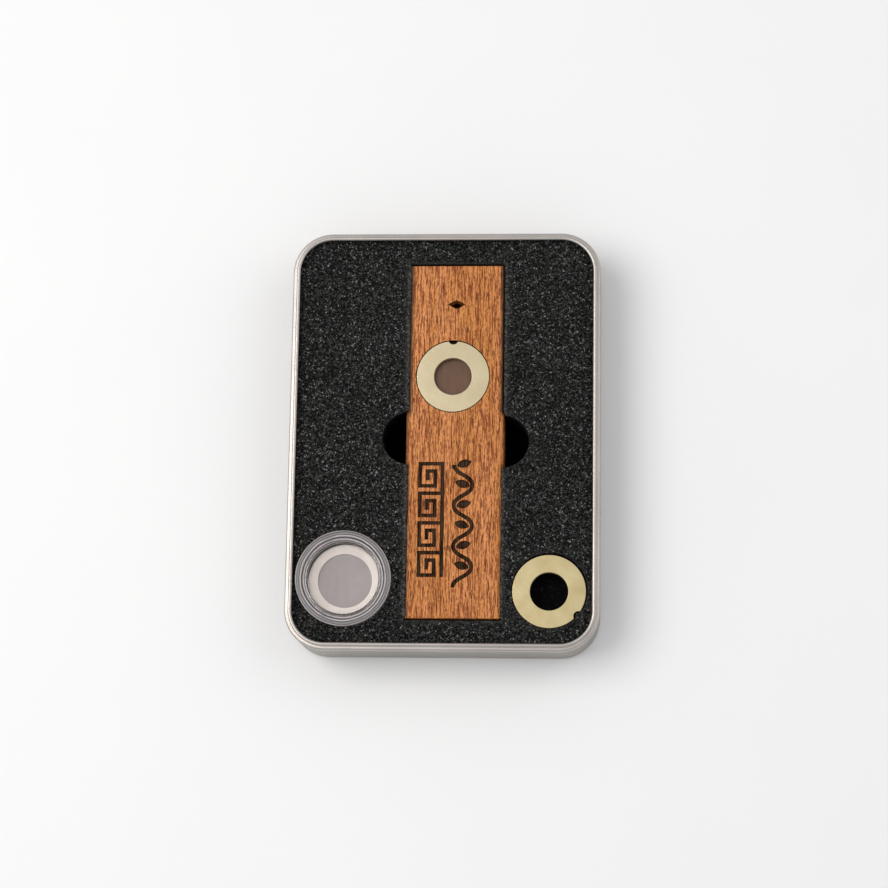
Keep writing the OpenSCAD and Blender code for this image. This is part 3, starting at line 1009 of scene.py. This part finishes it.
def makeLid():
    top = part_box("capsule_lid")[1][2] / mm
    under, small = top - capsule["lidTop"], capsule["smallEdge"]
    radius, edge, fillet = capsule["lidRadius"], capsule["lidEdge"], capsule["fillet"]
    skirtInner, skirtLength = capsule["skirt"]
    plugOuter, plugInner, plugLength = capsule["plug"]
    skirtLow = under - skirtLength
    plugLow = under - plugLength
    outline = [(0, top), (capsule["wallFrom"], top)]
    width, depth = capsule["groove"]
    for place in capsule["grooves"]:
        outline += [(place - width / 2, top), (place - width / 6, top - depth),
                    (place + width / 6, top - depth), (place + width / 2, top)]
    outline += arc((radius - edge, top - edge), edge, 90, 0, 7)
    outline += arc((radius - small, skirtLow + small), small, 0, -90, 3)
    outline += arc((skirtInner + small, skirtLow + small), small, -90, -180, 3)
    outline += [(skirtInner, under), (plugOuter, under)]
    outline += arc((plugOuter - small, plugLow + small), small, 0, -90, 3)
    outline += arc((plugInner + small, plugLow + small), small, -90, -180, 3)
    outline += arc((plugInner - fillet, under - fillet), fillet, 0, 90, 4)
    outline += [(0, under)]
    middle = middleOf("capsule_lid")
    lid = turnPiece("capsuleLid", outline, middle[:2])
    smoothPiece(lid, 40)
    paintWalls(lid, lidPlastic, middle, plugInner - 0.05, plugOuter + 0.05, capsule["wallFrom"] - 0.02)
    finishPiece(lid, "capsule_lid", "capsule_lid", "capsule_lid")


# Foam sheets: die-cut slabs, remeshed so that their edges soften and their cells can rise

foam = {
    "cornerRadius": 10.55,
    "padCornerRadius": 9.05,
    "cells": {"foam_pad": 1.2, "foam_lower": 0.95, "foam_middle": 0.8, "foam_face": 0.52},
    "slotGap": 0.3,
    "mouthGap": 0.7,
    "fingerLength": 39.9,
    "fingerWidth": 14.2,
    "fingerShift": 0.2,
    "fingerTurn": -2,
    "slotCorner": 0.7,
    "capsulePocket": 23.8,
    "ringPocket": 20.3,
    "ringPlay": (0.12, 0.18),
    "ringWell": 13.0,
    "notchPush": (0.8, 1.5),
    "roughness": 0.16,
    "roughnessSize": 1.1,
    "roughnessMiddle": 0.85,
    # Reach and strength of the painted highlight at cut edges, and where the foam presses
    "rim": (0.9, 1.0),
    "pressedRimHighlight": (1.5, 1.6),
    "lapLeft": (1.1, 1.2),
    "lapRight": (0.8, 0.3),
    "lapGap": 0.16,
    "lapWidth": 2.4,
    "lapRise": 0.85,
    "lapFade": (0.5, 0.7),
    "lapSlack": 0.3,
    "flatWithin": 0.35,
    "flatShare": 0.3,
}


def foamShapes():
    kazooLow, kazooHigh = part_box("kazoo_upper_half")
    gap = foam["slotGap"] * mm
    ring = ringCentre("spare_ring")
    return {
        "slotLow": (kazooLow[0] - gap, kazooLow[1] - gap),
        "slotHigh": (kazooHigh[0] + gap, kazooHigh[1] + foam["mouthGap"] * mm),
        "kazooTop": kazooHigh[2],
        "faceTop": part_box("foam_face")[1][2],
        "finger": Vector((middleOf("kazoo_upper_half").x + foam["fingerShift"] * mm,
                          middleOf("foam_face").y)),
        "capsule": middleOf("capsule_lid")[:2],
        "ring": ring,
        "ringPocket": (ring[0] + foam["ringPlay"][0] * mm, ring[1] + foam["ringPlay"][1] * mm),
    }


def addSlotCutter(shapes, lowZ, highZ):
    slot = addBlock("kazooSlot", (*shapes["slotLow"], lowZ), (*shapes["slotHigh"], highZ))
    middle = shapes["finger"]
    half = Vector((foam["fingerLength"], foam["fingerWidth"])) * mm / 2
    finger = addBlock("fingerSlot", (middle.x - half.x, middle.y - half.y, lowZ),
                      (middle.x + half.x, middle.y + half.y, highZ))
    bevelWhere(finger, isUpright, half.y - 0.002 * mm, 24)
    editOnly(finger)
    bpy.ops.transform.rotate(value=-math.radians(foam["fingerTurn"]), orient_axis="Z",
                             center_override=(middle.x, middle.y, 0))
    leaveEdit()
    carve(slot, finger, operation="UNION")

    def inCorner(a, b):
        besideKazoo = min(abs(a.x - shapes["slotLow"][0]), abs(a.x - shapes["slotHigh"][0])) < 0.05 * mm
        return isUpright(a, b) and besideKazoo and abs(a.y - middle.y) < half.y + 2 * mm

    bevelWhere(slot, inCorner, foam["slotCorner"] * mm, 6)
    return slot


def makeFoamSheet(name, node, slot, shapes, pockets=()):
    low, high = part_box(node)
    sheet = addBlock(name, low, high)
    corner = foam["padCornerRadius" if node == "foam_pad" else "cornerRadius"] * mm
    bevelWhere(sheet, isUpright, corner, 16)
    lowZ, highZ = low[2] - mm, high[2] + mm
    if node != "foam_pad":
        carve(sheet, addSlotCutter(shapes, lowZ, highZ))
    for place, width in pockets:
        carve(sheet, addDrum("pocketCutter", shapes[place], lowZ, highZ, foam[width] * mm / 2))
    applyModifier(sheet, "REMESH", mode="VOXEL", voxel_size=foam["cells"][node] * mm)
    clouds = bpy.data.textures.new(name + "Cells", "CLOUDS")
    clouds.noise_scale = foam["roughnessSize"] * mm
    clouds.noise_depth = 2
    applyModifier(sheet, "DISPLACE", texture=clouds, texture_coords="LOCAL",
                  strength=foam["roughness"] * mm, mid_level=foam["roughnessMiddle"])
    if node == "foam_face":
        lapKazoo(sheet, shapes)
        fillNotch(sheet, shapes)
    pickOnly(sheet)
    bpy.ops.object.shade_smooth()
    paintLightMasks(sheet, shapes)
    paint(sheet, charcoalFoam)
    finishPiece(sheet, "tin", slot, node)


# How far a place lies outside the finger slot, which is turned a little
def fromFingers(x, y, middle):
    half = foam["fingerWidth"] * mm / 2
    straight = foam["fingerLength"] * mm / 2 - half
    turn = math.radians(foam["fingerTurn"])
    alongX = (x - middle.x) * math.cos(turn) + (y - middle.y) * math.sin(turn)
    alongY = (y - middle.y) * math.cos(turn) - (x - middle.x) * math.sin(turn)
    return math.hypot(max(abs(alongX) - straight, 0), alongY) - half


# The face sheet is cut a little tight, so that it closes on the kazoo and laps over its rounded edges
def lapKazoo(sheet, shapes):
    lowX, lowY = shapes["slotLow"]
    highX, highY = shapes["slotHigh"]
    gap, width, curve = foam["slotGap"] * mm, foam["lapWidth"] * mm, kazoo["longEdge"] * mm
    shoulder = shapes["kazooTop"] - curve
    clear, slack, near = foam["lapGap"] * mm, foam["lapSlack"] * mm, foam["flatWithin"] * mm
    endFade, fingerFade = (v * mm for v in foam["lapFade"])
    for spot in sheet.data.vertices:
        x, y, z = spot.co
        ends = min(y - lowY, highY - y) / endFade
        fade = min(1.0, max(0.0, min(ends, fromFingers(x, y, shapes["finger"]) / fingerFade)))
        towardsMouth = 1 if y > shapes["finger"].y else 0
        for edge, side, laps in ((lowX, 1, foam["lapLeft"]), (highX, -1, foam["lapRight"])):
            out = (edge - x) * side
            if out > width or out < -slack or fade == 0.0:
                continue
            lap = laps[towardsMouth]
            share = fade * (1 - max(out, 0.0) / width) ** 2
            rise = foam["lapRise"] * mm * share * min(1.0, lap) if z > shoulder else 0.0
            level = shapes["faceTop"] if z > shapes["faceTop"] - near else z
            climb = min(max(level + rise - shoulder, 0.0), curve)
            inset = curve - math.sqrt(curve ** 2 - climb ** 2)
            rest = out if out > near else out * foam["flatShare"]
            spot.co.x = edge + side * ((gap + min(inset, lap * mm) - clear) * share - rest)
            spot.co.z += rise


# The foam bulges into the notch of the spare ring
def fillNotch(sheet, shapes):
    centre, radius = Vector(shapes["ring"]), foam["ringPocket"] * mm / 2
    turn = math.radians(rings["notchTurn"]["spare_ring"])
    push, width = (v * mm for v in foam["notchPush"])
    for spot in sheet.data.vertices:
        away = Vector(spot.co[:2]) - centre
        beyond = away.length - radius
        aside = away.x * math.sin(turn) - away.y * math.cos(turn)
        ahead = away.x * math.cos(turn) + away.y * math.sin(turn) > 0
        if not ahead or abs(aside) > width or not -0.5 * mm < beyond < width:
            continue
        share = math.cos(math.pi / 2 * aside / width) ** 2 * (1 - max(beyond, 0.0) / width)
        spot.co.x -= away.x / away.length * push * share
        spot.co.y -= away.y / away.length * push * share


# Kept for the foam's material: a painted highlight where it is cut or laps over the kazoo, and the wall
# open to the light, which is painted lighter
def paintLightMasks(sheet, shapes):
    lowX, lowY = shapes["slotLow"]
    highX, highY = shapes["slotHigh"]
    circles = [(shapes["capsule"], foam["capsulePocket"]), (shapes["ringPocket"], foam["ringPocket"])]
    rims, openings = [], []
    for spot in sheet.data.vertices:
        x, y = spot.co.x, spot.co.y
        outX = max(lowX - x, x - highX)
        outY = max(lowY - y, y - highY)
        away = [math.hypot(max(outX, 0), max(outY, 0))]
        away.append(max(fromFingers(x, y, shapes["finger"]), 0))
        for centre, width in circles:
            away.append(max(math.hypot(x - centre[0], y - centre[1]) - width * mm / 2, 0))
        lapped = max(0.0, -outX) if outY < 0 else 0.0
        atRight = outY < 0 and y > shapes["finger"].y and abs(x - highX) < 2 * mm
        atOutlet = outX < 0 and y < lowY
        reach, strength = foam["pressedRimHighlight" if atRight or atOutlet else "rim"]
        rims.append(strength * max(0.0, 1 - min(away) / (reach * mm)) + lapped / mm)
        openings.append(float(abs(y - highY) < 0.5 * mm and outX < 0.2 * mm))
    for name, values in (("cutRimHighlight", rims), ("openWall", openings)):
        sheet.data.attributes.new(name, "FLOAT", "POINT").data.foreach_set("value", values)


def makeFoam():
    shapes = foamShapes()
    capsulePocket, ringPocket = ("capsule", "capsulePocket"), ("ringPocket", "ringPocket")
    makeFoamSheet("foamPad", "foam_pad", "foam_pad", shapes)
    makeFoamSheet("foamLower", "foam_lower", "foam_pad", shapes)
    makeFoamSheet("foamMiddle", "foam_middle", "foam_pad", shapes, (capsulePocket, ("ring", "ringWell")))
    makeFoamSheet("foamFace", "foam_face", "foam_face", shapes, (capsulePocket, ringPocket))


# Floor, lights and camera

studio = {
    "floor": (tone(246, 246, 245), tone(243, 243, 243)),
    "world": (0.96, 0.97, 1.0, 1),
    "worldStrength": 0.58,
    "key": {"place": (-0.50, 0.06, 0.80), "size": 0.7, "power": 4.5, "colour": (1.0, 0.98, 0.95)},
    "fill": {"place": (0.62, 0.2, 0.62), "size": 0.8, "power": 1.2, "colour": (1.0, 0.98, 0.96)},
}

view = {
    "azimuth": -18.944,
    "elevation": 77.685,
    "roll": -18.437,
    "distance": 0.6742,
    "target": (0.00011, -0.00168, 0.018),
    "lens": 100.6,
}


def makeStudio():
    deselectAll()
    bpy.ops.mesh.primitive_plane_add(size=6, location=(0, 0, -0.0002))
    floor = settle(bpy.context.object, "paleFloor")
    material, tree, surface = newMaterial("paleFloor", 0.7)
    clouds = addNoise(tree, objectPlace(tree), 18.0, 3.0)["Fac"]
    setInput(tree, surface, "Base Color", addBlend(tree, clouds, *studio["floor"]))
    paint(floor, material)
    for name in ("key", "fill"):
        lamp = studio[name]
        aim = Vector(lamp["place"])
        turn = aim.to_track_quat("Z", "Y").to_euler()
        deselectAll()
        bpy.ops.object.light_add(type="AREA", location=aim, rotation=turn)
        light = bpy.context.object
        light.name = name + "Light"
        light.data.shape = "DISK"
        light.data.size = lamp["size"]
        light.data.energy = lamp["power"]
        light.data.color = lamp["colour"]
    world = bpy.data.worlds.new("softRoom")
    bpy.context.scene.world = world
    world.use_nodes = True
    room = world.node_tree.nodes["Background"]
    room.inputs["Color"].default_value = studio["world"]
    room.inputs["Strength"].default_value = studio["worldStrength"]
    bpy.context.scene.view_settings.view_transform = "Standard"
    print("made the studio")


def makeCamera():
    azimuth, elevation = math.radians(view["azimuth"]), math.radians(view["elevation"])
    look = Vector((math.sin(azimuth) * math.cos(elevation), math.cos(azimuth) * math.cos(elevation),
                   -math.sin(elevation)))
    turn = look.to_track_quat("-Z", "Y") @ Quaternion((0, 0, 1), math.radians(view["roll"]))
    deselectAll()
    bpy.ops.object.camera_add(location=Vector(view["target"]) - look * view["distance"],
                              rotation=turn.to_euler())
    camera = bpy.context.object
    camera.data.lens = view["lens"]
    camera.data.sensor_width = 36
    camera.data.clip_start = 0.01
    bpy.context.scene.camera = camera


makeTray()
makeKazoo()
makeRing("clampRing", "clamp_ring", paleBrass)
makeRing("spareRing", "spare_ring", spareBrass)
makeCup()
makeLid()
makeFoam()

# The films and their paper rims stay as they come from the CAD model
paint(nodes["membrane_rim"], shadedPaperRim)
paint(nodes["membrane_film"], kazooFilmLook)
for number in range(1, 6):
    paint(nodes[f"spare_rim_{number}"], paperRim)
    paint(nodes[f"spare_film_{number}"], spareFilmLook)

makeStudio()
makeCamera()
